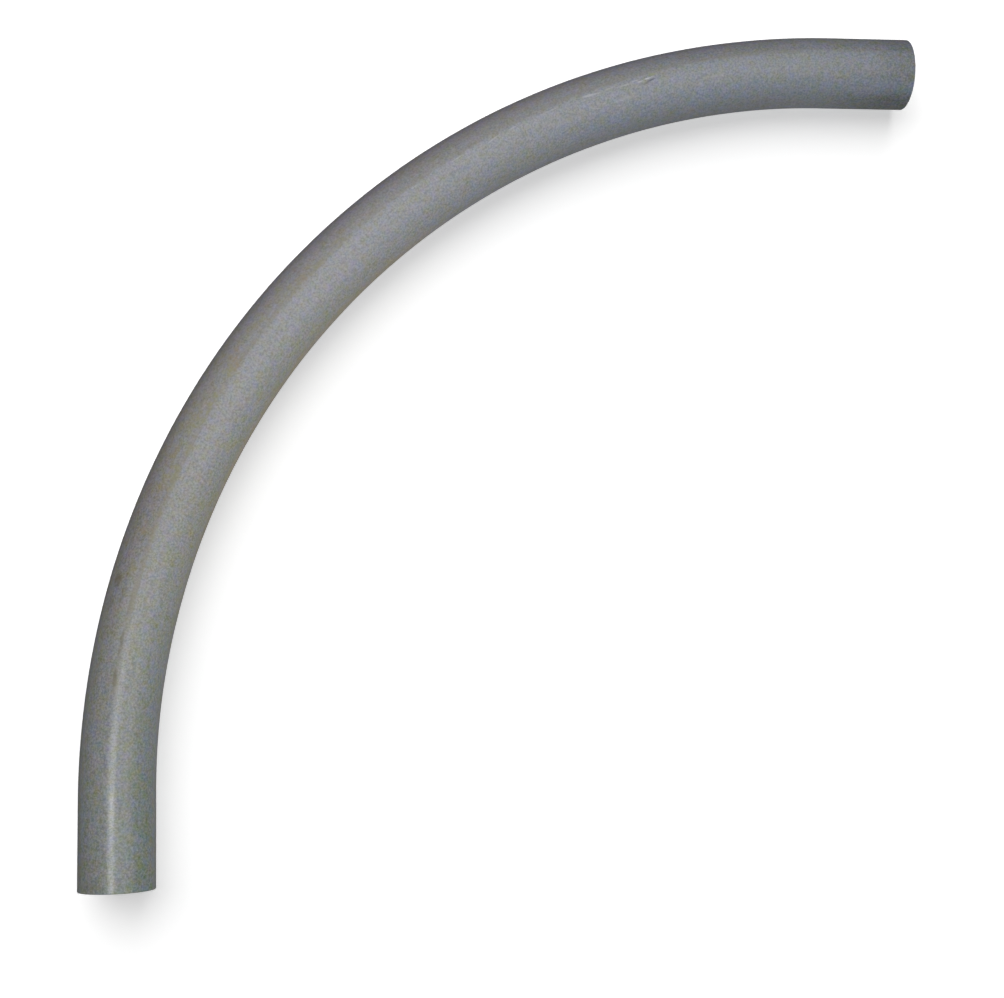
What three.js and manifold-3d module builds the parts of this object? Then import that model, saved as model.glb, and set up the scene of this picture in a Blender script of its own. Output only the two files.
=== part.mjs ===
// PVC conduit elbow: one length of rigid grey pipe, bent hot through a long quarter turn, with a
// straight end on each side of the bend. Both ends are cut square, and the bore runs right through.
// Millimetres, +Z up. The elbow lies flat, with the origin on the surface that it lies on, below
// the middle of its overall box. End A points along -Y and end B along +X.

import * as THREE from 'three';
import { mergeVertices } from 'three/addons/utils/BufferGeometryUtils.js';
import Module from 'manifold-3d';

// Driving dimensions: trade size 2 Schedule 40 pipe on the 24 inch special bend radius.
const INCH = 25.4;
const OUTSIDE_DIAMETER = 2.375 * INCH;
const WALL_THICKNESS = 0.154 * INCH;
const BEND_RADIUS = 24 * INCH;
const BEND_ANGLE = Math.PI / 2;
const STRAIGHT_END = 2.875 * INCH;
const EDGE_BREAK = 0.5;

// How finely the round shapes are cut into flats.
const PIPE_SIDES = 36;
const BEND_STEPS = 30;
const TOTAL_STEPS = BEND_STEPS + 2;

const OUTER_RADIUS = OUTSIDE_DIAMETER / 2;
const BORE_RADIUS = OUTER_RADIUS - WALL_THICKNESS;

const wasm = await Module();
wasm.setup();

// The pipe's centre line, laid out with the start of the bend at the local origin: along +Y through
// end A, round the bend towards +X, and on through end B. The parameter counts stations instead of
// length, so each straight end takes one step and the bend takes all the others.
class ElbowCentreLine extends THREE.Curve {
  bendAngleAt(t) {
    const turned = (t * TOTAL_STEPS - 1) / BEND_STEPS;
    return BEND_ANGLE * THREE.MathUtils.clamp(turned, 0, 1);
  }

  getPoint(t, target = new THREE.Vector3()) {
    const station = t * TOTAL_STEPS;
    const angle = this.bendAngleAt(t);
    const beforeBend = Math.min(station - 1, 0);
    const afterBend = Math.max(station - 1 - BEND_STEPS, 0);
    const alongTangent = (beforeBend + afterBend) * STRAIGHT_END;
    return target.set(
      BEND_RADIUS * (1 - Math.cos(angle)) + alongTangent * Math.sin(angle),
      BEND_RADIUS * Math.sin(angle) + alongTangent * Math.cos(angle),
      0,
    );
  }

  getTangent(t, target = new THREE.Vector3()) {
    const angle = this.bendAngleAt(t);
    return target.set(Math.sin(angle), Math.cos(angle), 0);
  }

  getUtoTmapping(u) {
    return u;
  }
}

// A regular polygon that stands for a circle of the given radius.
function circlePoints(radius) {
  const points = [];
  for (let side = 0; side < PIPE_SIDES; side += 1) {
    const angle = (2 * Math.PI * side) / PIPE_SIDES;
    points.push(new THREE.Vector2(radius * Math.cos(angle), radius * Math.sin(angle)));
  }
  return points;
}

// The bent pipe with sharp, square ends.
function bentPipeGeometry(centreLine) {
  const section = new THREE.Shape(circlePoints(OUTER_RADIUS));
  section.holes.push(new THREE.Path(circlePoints(BORE_RADIUS)));
  return new THREE.ExtrudeGeometry(section, { steps: TOTAL_STEPS, extrudePath: centreLine });
}

// A ring that takes the sharp edge off one rim of a pipe end. Its axis is local Y, which points out
// of the pipe, and local y = 0 is the end face. Side is 1 for the outer rim and -1 for the bore's.
function rimCutterGeometry(radius, side) {
  const overrun = 1;
  const profile = [
    new THREE.Vector2(radius - side * (EDGE_BREAK + overrun), overrun),
    new THREE.Vector2(radius + side * overrun, -EDGE_BREAK - overrun),
    new THREE.Vector2(radius + side * overrun, overrun),
  ];
  if (side < 0) {
    profile.reverse();
  }
  profile.push(profile[0].clone());
  return new THREE.LatheGeometry(profile, PIPE_SIDES);
}

// Turns a ring cutter so that its axis runs out of the pipe, and sets it at that end of the line.
function moveToEnd(geometry, centreLine, t) {
  const tangent = centreLine.getTangent(t);
  const outward = t === 0 ? tangent.negate() : tangent;
  const turn = new THREE.Quaternion().setFromUnitVectors(new THREE.Vector3(0, 1, 0), outward);
  const place = centreLine.getPoint(t);
  return geometry.applyQuaternion(turn).translate(place.x, place.y, place.z);
}

function solidFrom(geometry) {
  const bare = geometry.clone();
  bare.deleteAttribute('normal');
  bare.deleteAttribute('uv');
  const merged = mergeVertices(bare);
  const mesh = new wasm.Mesh({
    numProp: 3,
    vertProperties: new Float32Array(merged.attributes.position.array),
    triVerts: new Uint32Array(merged.index.array),
  });
  return new wasm.Manifold(mesh);
}

function geometryFrom(solid) {
  const mesh = solid.getMesh();
  const geometry = new THREE.BufferGeometry();
  geometry.setAttribute('position', new THREE.BufferAttribute(mesh.vertProperties, 3));
  geometry.setIndex(new THREE.BufferAttribute(mesh.triVerts, 1));
  geometry.computeVertexNormals();
  return geometry;
}

// The whole elbow: the bent pipe with the edges of both ends broken, outside and in the bore.
function elbowGeometry() {
  const centreLine = new ElbowCentreLine();
  let solid = solidFrom(bentPipeGeometry(centreLine));
  for (const end of [0, 1]) {
    const outerRim = moveToEnd(rimCutterGeometry(OUTER_RADIUS, 1), centreLine, end);
    const boreRim = moveToEnd(rimCutterGeometry(BORE_RADIUS, -1), centreLine, end);
    solid = solid.subtract(solidFrom(outerRim)).subtract(solidFrom(boreRim));
  }
  return geometryFrom(solid);
}

function elbowPipe() {
  const greyPvc = new THREE.MeshStandardMaterial({ color: 0x82868a, roughness: 0.5, metalness: 0 });
  const geometry = elbowGeometry();
  geometry.computeBoundingBox();
  const box = geometry.boundingBox;
  const middle = box.getCenter(new THREE.Vector3());
  const pipe = new THREE.Mesh(geometry, greyPvc);
  pipe.name = 'elbow_pipe';
  pipe.position.set(-middle.x, -middle.y, -box.min.z);
  return pipe;
}

const elbow = new THREE.Group();
elbow.add(elbowPipe());

export default elbow;
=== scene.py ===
"""A grey PVC conduit elbow lying on a white floor, seen from almost straight above.

The elbow is one heat-bent pipe. Its skin is laid out on the straight pipe that it was bent from, so
extrusion lines, heat marks and scuffs follow the pipe round the bend.
"""
import math

import bpy
import numpy as np
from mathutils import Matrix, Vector, noise


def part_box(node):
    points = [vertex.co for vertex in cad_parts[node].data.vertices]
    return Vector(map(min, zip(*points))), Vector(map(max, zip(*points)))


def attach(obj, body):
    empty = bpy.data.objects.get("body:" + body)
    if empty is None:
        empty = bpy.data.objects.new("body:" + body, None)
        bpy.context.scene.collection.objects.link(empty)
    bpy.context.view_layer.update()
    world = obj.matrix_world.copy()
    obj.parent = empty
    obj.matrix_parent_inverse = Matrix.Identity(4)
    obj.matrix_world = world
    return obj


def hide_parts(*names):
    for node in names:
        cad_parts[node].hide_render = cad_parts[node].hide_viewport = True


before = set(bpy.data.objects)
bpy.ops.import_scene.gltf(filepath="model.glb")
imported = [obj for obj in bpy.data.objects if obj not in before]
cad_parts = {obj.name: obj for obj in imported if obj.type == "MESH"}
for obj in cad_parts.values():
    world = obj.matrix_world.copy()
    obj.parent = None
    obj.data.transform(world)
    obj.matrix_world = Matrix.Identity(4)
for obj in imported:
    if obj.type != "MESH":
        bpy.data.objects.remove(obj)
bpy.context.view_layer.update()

MM = 0.001
INCH = 25.4 * MM

# The pipe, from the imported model's box and the trade size assumed for it.
pipe_low, pipe_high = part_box("elbow_pipe")
OUTER_RADIUS = (pipe_high.z - pipe_low.z) / 2
WALL = 0.154 * INCH
BORE_RADIUS = OUTER_RADIUS - WALL
BEND_RADIUS = 24 * INCH
STRAIGHT_END = pipe_high.x - pipe_low.x - OUTER_RADIUS - BEND_RADIUS
BEND_LENGTH = BEND_RADIUS * math.pi / 2
PIPE_LENGTH = 2 * STRAIGHT_END + BEND_LENGTH
BEND_START = Vector((
    pipe_low.x + OUTER_RADIUS,
    pipe_low.y + STRAIGHT_END,
    pipe_low.z + OUTER_RADIUS,
))

# What heat and the saw did to it. These amounts are guesses of what is usual.
EDGE_ROUNDING = 0.5 * MM
OVALITY = 0.012
RIPPLE = 0.12 * MM

# The mesh.
SIDES = 128
RING_SPACING = 3.6 * MM
BEFORE_BENDING = "before_bending"

# The materials.
PLASTIC_IOR = 1.52

# The camera, from fitting the pipe to the photograph's outline: above it and tilted a little.
CAMERA_PLACE = Vector((-0.1683, -0.2200, 1.3181))
CAMERA_TILT = (7.623, -6.636, -1.555)
CAMERA_LENS_MM = 56.34


def smooth_step(value, low, high):
    t = min(max((value - low) / (high - low), 0.0), 1.0)
    return t * t * (3 - 2 * t)


def in_bend(along, start, full):
    """0 near both ends of the pipe and 1 in the bend, going up from start to full. Those two are
    counted in straight ends."""
    from_a = smooth_step(along, start * STRAIGHT_END, full * STRAIGHT_END)
    from_b = smooth_step(PIPE_LENGTH - along, start * STRAIGHT_END, full * STRAIGHT_END)
    return from_a * from_b


# ---------------------------------------------------------------------------------------- the mesh


def centre_line(along):
    """The centre line's point, and the unit vector towards the inside of the bend, at a distance
    along the pipe from end A."""
    past_start = along - STRAIGHT_END
    turned = min(max(past_start, 0.0), BEND_LENGTH)
    angle = turned / BEND_RADIUS
    straight = past_start - turned
    point = BEND_START + Vector((
        BEND_RADIUS * (1 - math.cos(angle)) + straight * math.sin(angle),
        BEND_RADIUS * math.sin(angle) + straight * math.cos(angle),
        0.0,
    ))
    return point, Vector((math.cos(angle), -math.sin(angle), 0.0))


def wall_outline():
    """The pipe's wall as a closed outline of (distance along, radius, kind of surface) points: out
    along the skin, round end B, back along the bore and round end A."""
    middle_length = PIPE_LENGTH - 2 * EDGE_ROUNDING
    rings = round(middle_length / RING_SPACING)
    support = 0.4 * MM
    stations = [EDGE_ROUNDING, EDGE_ROUNDING + support]
    stations += [EDGE_ROUNDING + middle_length * i / rings for i in range(1, rings)]
    stations += [PIPE_LENGTH - EDGE_ROUNDING - support, PIPE_LENGTH - EDGE_ROUNDING]
    corner_steps = 4

    def corner(end, radius, outward, reverse):
        """The rounded edge between an end face and the skin or the bore."""
        inside = 1 if end == 0 else -1
        kind = "skin" if outward > 0 else "bore"
        points = []
        for i in range(1, corner_steps):
            turn = math.pi / 2 * i / corner_steps
            along = end + inside * EDGE_ROUNDING * (1 - math.sin(turn))
            points.append((along, radius - outward * EDGE_ROUNDING * (1 - math.cos(turn)), kind))
        return points[::-1] if reverse else points

    flat_radii = [
        OUTER_RADIUS - EDGE_ROUNDING,
        OUTER_RADIUS - EDGE_ROUNDING - support,
        (OUTER_RADIUS + BORE_RADIUS) / 2,
        BORE_RADIUS + EDGE_ROUNDING + support,
        BORE_RADIUS + EDGE_ROUNDING,
    ]
    outline = [(along, OUTER_RADIUS, "skin") for along in stations]
    outline += corner(PIPE_LENGTH, OUTER_RADIUS, 1, False)
    outline += [(PIPE_LENGTH, radius, "end") for radius in flat_radii]
    outline += corner(PIPE_LENGTH, BORE_RADIUS, -1, True)
    outline += [(along, BORE_RADIUS, "bore") for along in reversed(stations)]
    outline += corner(0.0, BORE_RADIUS, -1, False)
    outline += [(0.0, radius, "end") for radius in reversed(flat_radii)]
    outline += corner(0.0, OUTER_RADIUS, 1, True)
    return outline


def skin_dip(along, around):
    """How far the hot-bent skin lies below its true round, from broad ripples and soft dents."""
    heated = in_bend(along, 0.6, 1.8)
    place = Vector((
        2.2 * math.cos(around),
        2.2 * math.sin(around),
        along / (42 * MM),
    ))
    broad = 0.5 + 0.5 * noise.noise(place)
    fine = 0.5 + 0.5 * noise.noise(place * 2.7 + Vector((7.0, 3.0, 1.0)))
    return RIPPLE * (0.25 + 0.75 * heated) * (0.7 * broad + 0.3 * fine)


def pipe_point(along, radius, around):
    """A point of the wall in the row frame. Around is 0 at the top and grows towards the inside of
    the bend. The bend is a little narrower across its own plane than it is high."""
    centre, inward = centre_line(along)
    bent = in_bend(along, 0.7, 2.2)
    dip = skin_dip(along, around) if radius > BORE_RADIUS + EDGE_ROUNDING else 0.0
    across = (radius - dip) * (1 - OVALITY * bent) * math.sin(around)
    up = (radius - dip) * math.cos(around)
    return centre + inward * across + Vector((0.0, 0.0, up))


def make_pipe(materials):
    outline = wall_outline()
    arounds = [2 * math.pi * k / SIDES for k in range(SIDES)]
    vertices = []
    unbent = []
    for along, radius, _ in outline:
        for around in arounds:
            vertices.append(pipe_point(along, radius, around))
            unbent += [radius * math.sin(around), radius * math.cos(around), along]
    faces = []
    kinds = []
    slot_of = {"skin": 0, "end": 1, "bore": 2}
    rings = len(outline)
    for i in range(rings):
        j = (i + 1) % rings
        here, there = outline[i][2], outline[j][2]
        kind = slot_of[here] if here == there else slot_of["end"]
        for k in range(SIDES):
            m = (k + 1) % SIDES
            faces.append((i * SIDES + k, i * SIDES + m, j * SIDES + m, j * SIDES + k))
            kinds.append(kind)
    mesh = bpy.data.meshes.new("elbow_pipe_wall")
    mesh.from_pydata(vertices, [], faces)
    for material in materials:
        mesh.materials.append(material)
    mesh.polygons.foreach_set("material_index", kinds)
    mesh.polygons.foreach_set("use_smooth", [True] * len(faces))
    attribute = mesh.attributes.new(BEFORE_BENDING, "FLOAT_VECTOR", "POINT")
    attribute.data.foreach_set("vector", unbent)
    mesh.update()
    pipe = bpy.data.objects.new("elbow_pipe_wall", mesh)
    bpy.context.scene.collection.objects.link(pipe)
    return pipe


# ----------------------------------------------------------------------------------- the materials


class Shading:
    """The nodes of one material, added and wired by plain calls. A value may be a number, a colour
    or another node's output."""

    def __init__(self, name):
        self.material = bpy.data.materials.new(name)
        self.material.use_nodes = True
        self.tree = self.material.node_tree
        self.shader = self.tree.nodes["Principled BSDF"]
        before = self.add("ShaderNodeAttribute", attribute_name=BEFORE_BENDING)
        self.place = before.outputs["Vector"]
        split = self.add("ShaderNodeSeparateXYZ")
        self.feed(split.inputs[0], self.place)
        self.along = split.outputs["Z"]
        self.around = self.maths("ARCTAN2", split.outputs["X"], split.outputs["Y"])

    def add(self, kind, **settings):
        node = self.tree.nodes.new(kind)
        for key, value in settings.items():
            setattr(node, key, value)
        return node

    def feed(self, socket, value):
        if isinstance(value, bpy.types.NodeSocket):
            self.tree.links.new(value, socket)
        elif isinstance(value, tuple) and len(value) == 3 and socket.type == "RGBA":
            socket.default_value = (*value, 1.0)
        else:
            socket.default_value = value

    def maths(self, operation, first, second=0.0):
        node = self.add("ShaderNodeMath", operation=operation)
        self.feed(node.inputs[0], first)
        self.feed(node.inputs[1], second)
        return node.outputs[0]

    def times(self, *values):
        total = values[0]
        for value in values[1:]:
            total = self.maths("MULTIPLY", total, value)
        return total

    def ease(self, value, low, high, out_low=0.0, out_high=1.0):
        """Goes smoothly from out_low at low to out_high at high. Low may be above high."""
        node = self.add("ShaderNodeMapRange", interpolation_type="SMOOTHSTEP")
        if low > high:
            low, high, out_low, out_high = high, low, out_high, out_low
        self.feed(node.inputs["Value"], value)
        self.feed(node.inputs["From Min"], low)
        self.feed(node.inputs["From Max"], high)
        self.feed(node.inputs["To Min"], out_low)
        self.feed(node.inputs["To Max"], out_high)
        return node.outputs["Result"]

    def band(self, value, start, full_from, full_to, end):
        """0 outside start and end, 1 between full_from and full_to."""
        return self.times(self.ease(value, start, full_from), self.ease(value, end, full_to))

    def round_band(self, value, *edges):
        """The same for a value that goes round the pipe, with its four edges in degrees."""
        return self.band(value, *[math.radians(edge) for edge in edges])

    def grain(self, size, detail=2.0, stretch=(1.0, 1.0, 1.0), shift=0.0, roughness=0.5):
        """Noise of about that size in metres, longer along the pipe where stretch says so."""
        mapping = self.add("ShaderNodeMapping")
        self.feed(mapping.inputs["Vector"], self.place)
        self.feed(mapping.inputs["Location"], (shift, shift * 0.7, shift * 1.3))
        self.feed(mapping.inputs["Scale"], tuple(1 / part for part in stretch))
        node = self.add("ShaderNodeTexNoise")
        self.feed(node.inputs["Vector"], mapping.outputs[0])
        self.feed(node.inputs["Scale"], 0.5 / size)
        self.feed(node.inputs["Detail"], detail)
        self.feed(node.inputs["Roughness"], roughness)
        return node.outputs["Fac"]

    def spot(self, along, around, length, width, slant=0.0):
        """1 in the middle of an oval mark on the skin, down to 0 at its rim. Around, width and
        slant, how far round it drifts in half its length, are in degrees."""
        mid = math.radians(around)
        half = math.radians(width / 2)
        d_along = self.maths("DIVIDE", self.maths("SUBTRACT", self.along, along), length / 2)
        drift = self.times(d_along, math.radians(slant))
        from_mid = self.maths("SUBTRACT", self.maths("SUBTRACT", self.around, mid), drift)
        d_around = self.maths("DIVIDE", from_mid, half)
        squares = self.maths("ADD", self.times(d_along, d_along), self.times(d_around, d_around))
        return self.ease(squares, 1.0, 0.1)

    def spots(self, marks):
        """The marks (strength, then what spot takes) together."""
        return self.most(*[self.times(self.spot(*mark[1:]), mark[0]) for mark in marks])

    def blend(self, amount, first, second):
        node = self.add("ShaderNodeMix", data_type="RGBA")
        self.feed(node.inputs["Factor"], amount)
        self.feed(node.inputs[6], first)
        self.feed(node.inputs[7], second)
        return node.outputs[2]

    def sway(self, field, colour, reach):
        """Adds to a colour (red, green, blue) times how far the field is from its mean of 0.5."""
        node = self.add("ShaderNodeVectorMath", operation="MULTIPLY_ADD")
        self.feed(node.inputs[0], reach)
        self.feed(node.inputs[1], self.maths("SUBTRACT", field, 0.5))
        self.feed(node.inputs[2], colour)
        return node.outputs[0]

    def most(self, *values):
        total = values[0]
        for value in values[1:]:
            total = self.maths("MAXIMUM", total, value)
        return total

    def total(self, *values):
        result = values[0]
        for value in values[1:]:
            result = self.maths("ADD", result, value)
        return result

    def bump(self, height, distance, below=None):
        node = self.add("ShaderNodeBump")
        self.feed(node.inputs["Strength"], 1.0)
        self.feed(node.inputs["Distance"], distance)
        self.feed(node.inputs["Height"], height)
        if below is not None:
            self.feed(node.inputs["Normal"], below)
        return node.outputs["Normal"]

    def finished(self, colour, roughness, normal):
        self.feed(self.shader.inputs["Base Color"], colour)
        self.feed(self.shader.inputs["Roughness"], roughness)
        self.feed(self.shader.inputs["Normal"], normal)
        self.feed(self.shader.inputs["IOR"], PLASTIC_IOR)
        return self.material


def skin_material():
    """The outside: extruded grey PVC, glossy on the straight ends and dulled by the bending heat."""
    s = Shading("grey_pvc_skin")

    # Colour along the pipe: faintly green at end A, palest and neutral mid-bend, blue by end B. Darker
    # towards both ends: painted shade where the light falls off.
    ramp = s.add("ShaderNodeValToRGB")
    s.feed(ramp.inputs["Fac"], s.maths("DIVIDE", s.along, PIPE_LENGTH))
    stops = [
        (0.0, (0.242, 0.262, 0.247)),
        (0.06, (0.262, 0.279, 0.268)),
        (0.12, (0.282, 0.294, 0.287)),
        (0.28, (0.308, 0.310, 0.299)),
        (0.37, (0.325, 0.328, 0.330)),
        (0.50, (0.330, 0.335, 0.350)),
        (0.63, (0.312, 0.322, 0.339)),
        (0.80, (0.302, 0.318, 0.340)),
        (0.92, (0.293, 0.311, 0.334)),
        (0.965, (0.264, 0.281, 0.303)),
        (0.98, (0.229, 0.245, 0.263)),
        (1.0, (0.208, 0.223, 0.239)),
    ]
    while len(ramp.color_ramp.elements) < len(stops):
        ramp.color_ramp.elements.new(0.5)
    for element, (position, colour) in zip(ramp.color_ramp.elements, stops):
        element.position = position
        element.color = (*colour, 1.0)
    colour = ramp.outputs["Color"]

    # What the bending heat left: a warmer outer flank and a yellowed inside.
    flank = s.ease(s.around, math.radians(-6), math.radians(-34))
    heat_flank = s.times(s.band(s.along, 0.14, 0.28, 0.70, 0.93), flank)
    colour = s.blend(s.times(heat_flank, 0.5), colour, (0.330, 0.302, 0.285))
    inside = s.round_band(s.around, 30, 56, 98, 122)
    heat_inside = s.times(s.band(s.along, 0.16, 0.26, 0.50, 0.66), inside)
    colour = s.blend(s.times(heat_inside, 0.45), colour, (0.335, 0.332, 0.270))
    # Brown along the inside's edge: a painted reflection of a brown backdrop.
    inner_edge_band = s.round_band(s.around, 62, 82, 96, 114)
    backdrop_reflection = s.times(s.band(s.along, 0.26, 0.34, 0.58, 0.68), inner_edge_band)
    colour = s.blend(s.times(backdrop_reflection, 0.6), colour, (0.44, 0.38, 0.265))

    # A tone of the photograph with no known cause: more purple low on the outer flank.
    dusk = s.round_band(s.around, -88, -62, -44, -30)
    dusk = s.times(dusk, s.band(s.along, 0.42, 0.54, 0.93, 1.02))
    colour = s.blend(s.times(dusk, 0.5), colour, (0.328, 0.310, 0.363))

    # Painted shade, tinted green, on the inner side of the crown, deepest by end A and deeper again at
    # end B.
    shaded_inner_side = s.round_band(s.around, 18, 40, 52, 84)
    inner_shade_amount = s.total(
        s.ease(s.along, 0.05, 0.30, 0.40, 0.19),
        s.ease(s.along, 0.30, 0.52, 0.0, -0.04),
        s.ease(s.along, 1.01, 1.09, 0.0, 0.12),
    )
    colour = s.blend(s.times(shaded_inner_side, inner_shade_amount), colour, (0.088, 0.124, 0.115))
    # Bluer by the same side from mid-bend on.
    cool = s.round_band(s.around, 20, 38, 50, 70)
    cool = s.times(cool, s.ease(s.along, 0.70, 0.92))
    colour = s.blend(s.times(cool, 0.5), colour, (0.256, 0.290, 0.356))
    # Painted shade on the outer flank, near both ends, left off one pale patch. Its edge by the crown,
    # and the tan line that runs there, drift outwards from end A to end B.
    wander = s.times(s.maths("SUBTRACT", s.along, 0.30), math.radians(12))
    beside = s.maths("ADD", s.around, wander)
    shaded_outer_flank = s.round_band(beside, -60, -46, -14, -5)
    outside_pale_patch = s.maths("SUBTRACT", 1.0, s.spot(0.218, -13.0, 115 * MM, 30.0))
    outer_shade_amount = s.total(
        s.ease(s.along, 0.28, 0.37, 0.20, 0.0),
        s.ease(s.along, 0.78, 0.97, 0.0, 0.26),
    )
    colour = s.blend(s.times(shaded_outer_flank, outer_shade_amount, outside_pale_patch), colour, (0.120, 0.113, 0.116))
    # Painted shade, tinted green, low on the inside at end B.
    corner = s.round_band(s.around, 44, 68, 110, 140)
    corner = s.times(corner, s.ease(s.along, 1.02, 1.08))
    colour = s.blend(s.times(corner, 0.28), colour, (0.085, 0.098, 0.068))

    # Mottling, mostly between yellow and blue, then fine speckle and faint lines from the die.
    blotches = s.grain(4.6 * MM, detail=2.0, shift=0.8)
    colour = s.sway(blotches, colour, (0.0, 0.004, 0.19))
    dapples = s.grain(2.3 * MM, detail=2.0, shift=1.7)
    colour = s.sway(dapples, colour, (0.01, 0.01, 0.25))
    ruddy = s.grain(3.2 * MM, detail=2.0, shift=2.6)
    colour = s.sway(ruddy, colour, (0.105, -0.014, 0.0))
    speckle = s.grain(0.85 * MM, detail=2.0, shift=0.1, roughness=0.7)
    colour = s.sway(speckle, colour, (0.38, 0.38, 0.38))
    die_lines = s.grain(0.9 * MM, detail=3.0, stretch=(1.0, 1.0, 90.0), roughness=0.65)
    colour = s.sway(die_lines, colour, (0.03, 0.03, 0.03))

    # Scorching: a tan line just outside the crown, with scattered flecks beyond it.
    line = s.round_band(beside, -17, -11, -6.5, -4)
    line = s.times(line, s.band(s.along, 0.12, 0.17, 0.95, 1.06), s.ease(s.along, 0.30, 0.42, 1.0, 0.6))
    uneven_line = s.grain(9 * MM, detail=3.0, stretch=(1.0, 1.0, 2.5), shift=3.3)
    line = s.times(line, s.ease(uneven_line, 0.36, 0.62, 0.4, 1.0))
    colour = s.blend(s.times(line, 0.55), colour, (0.285, 0.258, 0.195))
    beyond = s.round_band(s.around, -40, -20, -10, -6)
    beyond = s.times(beyond, s.band(s.along, 0.15, 0.24, 0.44, 0.66))
    dashes = s.grain(4.2 * MM, detail=4.0, stretch=(1.0, 1.0, 1.7), shift=0.7, roughness=0.62)
    flecks = s.ease(s.grain(1.7 * MM, detail=3.0, shift=4.1), 0.36, 0.62, 0.25, 1.0)
    scorch = s.times(beyond, s.ease(dashes, 0.45, 0.63), flecks, outside_pale_patch)
    ochre = s.ease(s.grain(12 * MM, detail=1.0, shift=5.2), 0.42, 0.58)
    scorch_colour = s.blend(ochre, (0.345, 0.268, 0.165), (0.320, 0.305, 0.150))
    colour = s.blend(s.times(scorch, 0.6), colour, scorch_colour)

    # Handling marks: smudges outside the crown and at end A, pale rubs along the crown among which is a
    # painted highlight, and one short gouge with painted shadow and a stain beside it.
    smudges = s.spots([
        (1.0, 0.164, -10.5, 18 * MM, 9.0),
        (1.0, 0.192, -11.0, 26 * MM, 7.0),
        (0.5, 0.222, -11.0, 22 * MM, 5.0),
        (0.8, 0.227, -28.0, 16 * MM, 4.5),
        (1.1, 0.239, -44.0, 15 * MM, 22.0),
        (0.7, 0.220, -47.0, 15 * MM, 17.0),
        (0.5, 0.271, -40.0, 10 * MM, 12.0),
        (0.4, 0.004, -30.0, 16 * MM, 52.0),
        (0.4, 0.045, -4.5, 9 * MM, 3.0),
    ])
    broken = s.ease(s.grain(2.0 * MM, detail=4.0, shift=0.5), 0.36, 0.60, 0.35, 1.0)
    colour = s.blend(s.times(smudges, broken, 0.52), colour, (0.150, 0.128, 0.085))
    # Pale rubs and scuffs, and from mid-bend on a painted highlight line along the crown.
    rubs_and_highlight = s.spots([
        (0.8, 0.642, -6.5, 16 * MM, 3.0),
        (0.6, 0.682, -6.5, 18 * MM, 2.5),
        (0.6, 0.718, -4.0, 16 * MM, 3.6, -2.5),
        (0.6, 0.738, -6.0, 14 * MM, 3.0),
        (0.5, 0.771, -6.0, 26 * MM, 3.0),
        (1.3, 0.8105, -6.0, 18 * MM, 5.0, 1.5),
        (0.8, 0.821, -4.5, 15 * MM, 3.0),
        (0.7, 0.829, -6.5, 12 * MM, 2.5),
        (0.6, 0.842, -4.0, 20 * MM, 4.0),
        (1.0, 0.852, -6.5, 10 * MM, 2.6),
        (1.4, 0.857, -3.2, 9 * MM, 3.2, -0.8),
        (2.0, 0.864, -5.2, 12 * MM, 3.6, -1.2),
        (0.6, 0.811, 17.0, 13 * MM, 2.4, 4.5),
        (0.6, 0.818, 14.0, 11 * MM, 2.2, 3.0),
        (0.35, 0.839, 17.5, 22 * MM, 8.0),
        (0.4, 0.925, 14.0, 34 * MM, 5.0),
    ])
    flaked = s.ease(s.grain(1.1 * MM, detail=3.0, stretch=(1.0, 1.0, 3.0), shift=2.1), 0.30, 0.56)
    colour = s.blend(s.times(rubs_and_highlight, flaked, 0.55), colour, (0.56, 0.56, 0.60))
    gouge = s.spot(0.8655, -0.9, 11 * MM, 3.4, -1.4)
    colour = s.blend(s.times(gouge, 0.6), colour, (0.10, 0.10, 0.15))
    # Painted shadow beside the gouge.
    gouge_shadow = s.spot(0.861, 2.6, 11 * MM, 4.0, -2.6)
    colour = s.blend(s.times(gouge_shadow, 0.35), colour, (0.12, 0.125, 0.14))
    nick_stain = s.spot(0.8685, -10.0, 9 * MM, 7.5)
    colour = s.blend(s.times(nick_stain, 0.4), colour, (0.31, 0.36, 0.12))

    # Gloss: the straight ends keep the die's shine, and the heated bend is matt.
    shine = s.ease(s.along, 0.26, 0.12)
    shine_b = s.ease(s.along, PIPE_LENGTH - 0.10, PIPE_LENGTH - 0.02)
    rough = s.maths("SUBTRACT", 0.48, s.maths("ADD", s.times(shine, 0.16), s.times(shine_b, 0.04)))
    uneven = s.ease(s.grain(14 * MM, detail=4.0, shift=0.4), 0.3, 0.7, -0.04, 0.06)
    rough = s.total(rough, uneven, s.times(scorch, 0.06))

    # Relief: die lines, a faint orange peel from the heat, and the gouge.
    peel = s.grain(1.6 * MM, detail=3.0, shift=0.6)
    normal = s.bump(peel, 0.035 * MM)
    normal = s.bump(die_lines, 0.02 * MM, normal)
    normal = s.bump(s.times(gouge, -1.0), 0.15 * MM, normal)

    return s.finished(colour, rough, normal)


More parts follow.
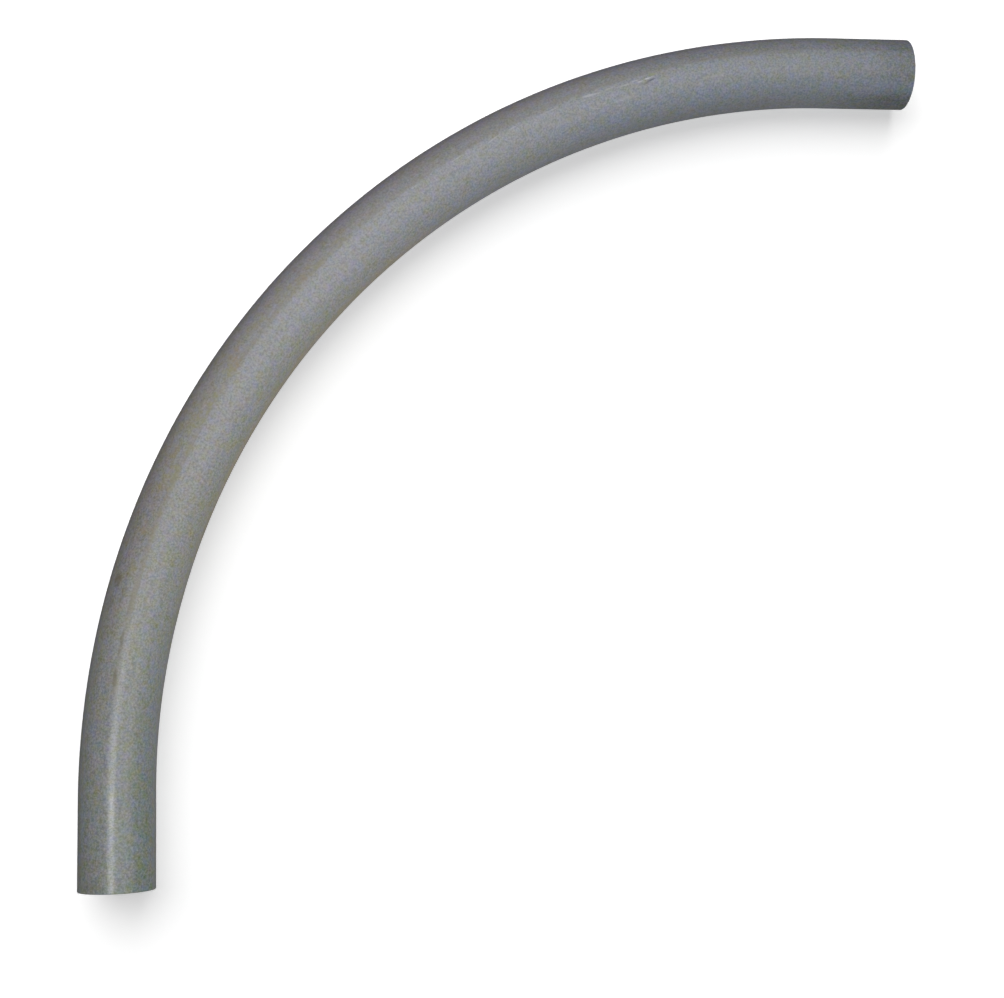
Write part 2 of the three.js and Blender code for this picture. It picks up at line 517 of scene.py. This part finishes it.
def cut_end_material():
    """The sawn ring at each end: paler raw plastic with the arcs of the saw's teeth."""
    s = Shading("grey_pvc_cut_end")
    wave = s.add("ShaderNodeTexWave", wave_type="RINGS", rings_direction="Z")
    mapping = s.add("ShaderNodeMapping")
    s.feed(mapping.inputs["Vector"], s.place)
    s.feed(mapping.inputs["Location"], (0.11, 0.05, 0.0))
    s.feed(wave.inputs["Vector"], mapping.outputs[0])
    s.feed(wave.inputs["Scale"], 260.0)
    s.feed(wave.inputs["Distortion"], 1.5)
    s.feed(wave.inputs["Detail"], 2.0)
    tooth_marks = wave.outputs["Fac"]
    dirt = s.ease(s.grain(3 * MM, detail=4.0), 0.35, 0.7)
    colour = s.blend(s.times(dirt, 0.35), (0.400, 0.406, 0.410), (0.280, 0.278, 0.268))
    colour = s.blend(s.times(tooth_marks, 0.2), colour, (0.50, 0.505, 0.51))
    rough = s.ease(dirt, 0.0, 1.0, 0.62, 0.75)
    return s.finished(colour, rough, s.bump(tooth_marks, 0.05 * MM))


def bore_material():
    """The inside: smoother and cleaner, with die lines and a little dust lying along the bottom."""
    s = Shading("grey_pvc_bore")
    die_lines = s.grain(1.2 * MM, detail=3.0, stretch=(1.0, 1.0, 80.0))
    lines = s.ease(die_lines, 0.35, 0.7, 0.0, 0.35)
    colour = s.blend(lines, (0.250, 0.257, 0.265), (0.32, 0.328, 0.335))
    low_side = s.ease(s.maths("ABSOLUTE", s.around), math.radians(125), math.radians(170))
    dust = s.times(low_side, s.ease(s.grain(6 * MM, detail=5.0, shift=0.2), 0.35, 0.65))
    colour = s.blend(s.times(dust, 0.5), colour, (0.34, 0.32, 0.28))
    rough = s.maths("ADD", s.times(dust, 0.3), 0.36)
    return s.finished(colour, rough, s.bump(die_lines, 0.03 * MM))


# --------------------------------------------------------------------------------------- the stage


def make_floor():
    """A round white table that sweeps up into a wall far behind the elbow. It glows a little, more
    so farther out, so its shadows stay pale and its horizon doesn't show."""
    flat = 5.0
    sweep = 1.5
    wall = 5.0
    steps = 8
    glow_grows_from, glow_grows_to = 0.7, 2.6
    glow_near, glow_far = 0.49, 0.92
    profile = [(flat * part, 0.0) for part in (0.2, 0.6, 1.0)]
    for i in range(1, steps + 1):
        turn = math.pi / 2 * i / steps
        profile.append((flat + sweep * math.sin(turn), sweep * (1 - math.cos(turn))))
    profile.append((flat + sweep, wall))
    sides = 64
    vertices = [(0.0, 0.0, 0.0)]
    for radius, height in profile:
        for k in range(sides):
            turn = 2 * math.pi * k / sides
            vertices.append((radius * math.cos(turn), radius * math.sin(turn), height))
    faces = [(0, 1 + k, 1 + (k + 1) % sides) for k in range(sides)]
    for i in range(len(profile) - 1):
        inner = 1 + i * sides
        outer = inner + sides
        for k in range(sides):
            m = (k + 1) % sides
            faces.append((inner + k, outer + k, outer + m, inner + m))
    mesh = bpy.data.meshes.new("floor")
    mesh.from_pydata(vertices, [], faces)
    mesh.polygons.foreach_set("use_smooth", [True] * len(faces))
    material = bpy.data.materials.new("white_floor")
    material.use_nodes = True
    nodes = material.node_tree.nodes
    links = material.node_tree.links
    shader = nodes["Principled BSDF"]
    shader.inputs["Base Color"].default_value = (0.86, 0.86, 0.86, 1.0)
    shader.inputs["Roughness"].default_value = 0.9
    shader.inputs["Specular IOR Level"].default_value = 0.1
    shader.inputs["Emission Color"].default_value = (1.0, 1.0, 1.0, 1.0)
    place = nodes.new("ShaderNodeTexCoord")
    distance = nodes.new("ShaderNodeVectorMath")
    distance.operation = "LENGTH"
    links.new(place.outputs["Object"], distance.inputs[0])
    glow = nodes.new("ShaderNodeMapRange")
    glow.interpolation_type = "SMOOTHSTEP"
    glow.inputs["From Min"].default_value = glow_grows_from
    glow.inputs["From Max"].default_value = glow_grows_to
    glow.inputs["To Min"].default_value = glow_near
    glow.inputs["To Max"].default_value = glow_far
    links.new(distance.outputs["Value"], glow.inputs["Value"])
    links.new(glow.outputs["Result"], shader.inputs["Emission Strength"])
    mesh.materials.append(material)
    floor = bpy.data.objects.new("floor", mesh)
    bpy.context.scene.collection.objects.link(floor)
    floor.visible_diffuse = False
    floor.visible_glossy = False
    return floor


def area_light(name, place, size, power, receivers):
    """A round soft light aimed at the middle of the floor, which lights only its receivers."""
    data = bpy.data.lights.new(name, "AREA")
    data.shape = "DISK"
    data.size = size
    data.energy = power
    light = bpy.data.objects.new(name, data)
    light.location = place
    light.rotation_euler = (-Vector(place)).to_track_quat("-Z", "Y").to_euler()
    bpy.context.scene.collection.objects.link(light)
    group = bpy.data.collections.new(name + "_receivers")
    for receiver in receivers:
        group.objects.link(receiver)
    light.light_linking.receiver_collection = group
    light.visible_camera = False
    return light


def make_lights(pipe, floor):
    """Lamps placed to give the photograph's shading. The real ones aren't known."""
    strip = area_light("strip_lamp", (-0.535, -0.41, 1.32), 0.06, 4.6, [pipe])
    strip.data.shape = "RECTANGLE"
    strip.data.size_y = 0.42
    strip.rotation_euler = (0.0, 0.0, 0.0)
    area_light("overhead_softbox", (0.0, 0.69, 1.4), 0.56, 5.4, [pipe])
    front = area_light("front_softbox", (0.19, -1.22, 2.54), 0.6, 27.0, [pipe])
    front.visible_glossy = False
    area_light("side_fill", (1.63, 0.58, 0.22), 0.4, 11.8, [pipe])
    area_light("shadow_light", (-0.91, 1.80, 2.06), 5.4, 150.0, [floor])
    # The white table's light on the underside of the pipe.
    table_glow = area_light("table_glow", (0.0, 0.0, 1 * MM), 1.3, 2.0, [pipe])
    table_glow.data.spread = math.radians(95)
    table_glow.rotation_euler = (math.pi, 0.0, 0.0)
    table_glow.visible_glossy = False
    for end, along in (("a", 0.0), ("b", PIPE_LENGTH)):
        # A little light in each mouth, which stands in for the bright room.
        middle, inward = centre_line(along)
        into = Vector((-inward.y, inward.x, 0.0)) * (1 if end == "a" else -1)
        mouth = area_light("mouth_light_" + end, middle, 2 * BORE_RADIUS, 0.0036, [pipe])
        mouth.rotation_euler = into.to_track_quat("-Z", "Y").to_euler()
        mouth.visible_glossy = False
    world = bpy.data.worlds.new("studio")
    world.use_nodes = True
    background = world.node_tree.nodes["Background"]
    background.inputs["Color"].default_value = (1.0, 1.0, 1.0, 1.0)
    background.inputs["Strength"].default_value = 0.12
    bpy.context.scene.world = world


def make_camera():
    data = bpy.data.cameras.new("camera")
    data.lens = CAMERA_LENS_MM
    camera = bpy.data.objects.new("camera", data)
    camera.location = CAMERA_PLACE
    camera.rotation_euler = [math.radians(angle) for angle in CAMERA_TILT]
    bpy.context.scene.collection.objects.link(camera)
    bpy.context.scene.camera = camera


make_camera()
bpy.context.scene.view_settings.view_transform = "Standard"
pipe = make_pipe([skin_material(), cut_end_material(), bore_material()])
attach(pipe, "root")
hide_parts("elbow_pipe")
floor = make_floor()
make_lights(pipe, floor)
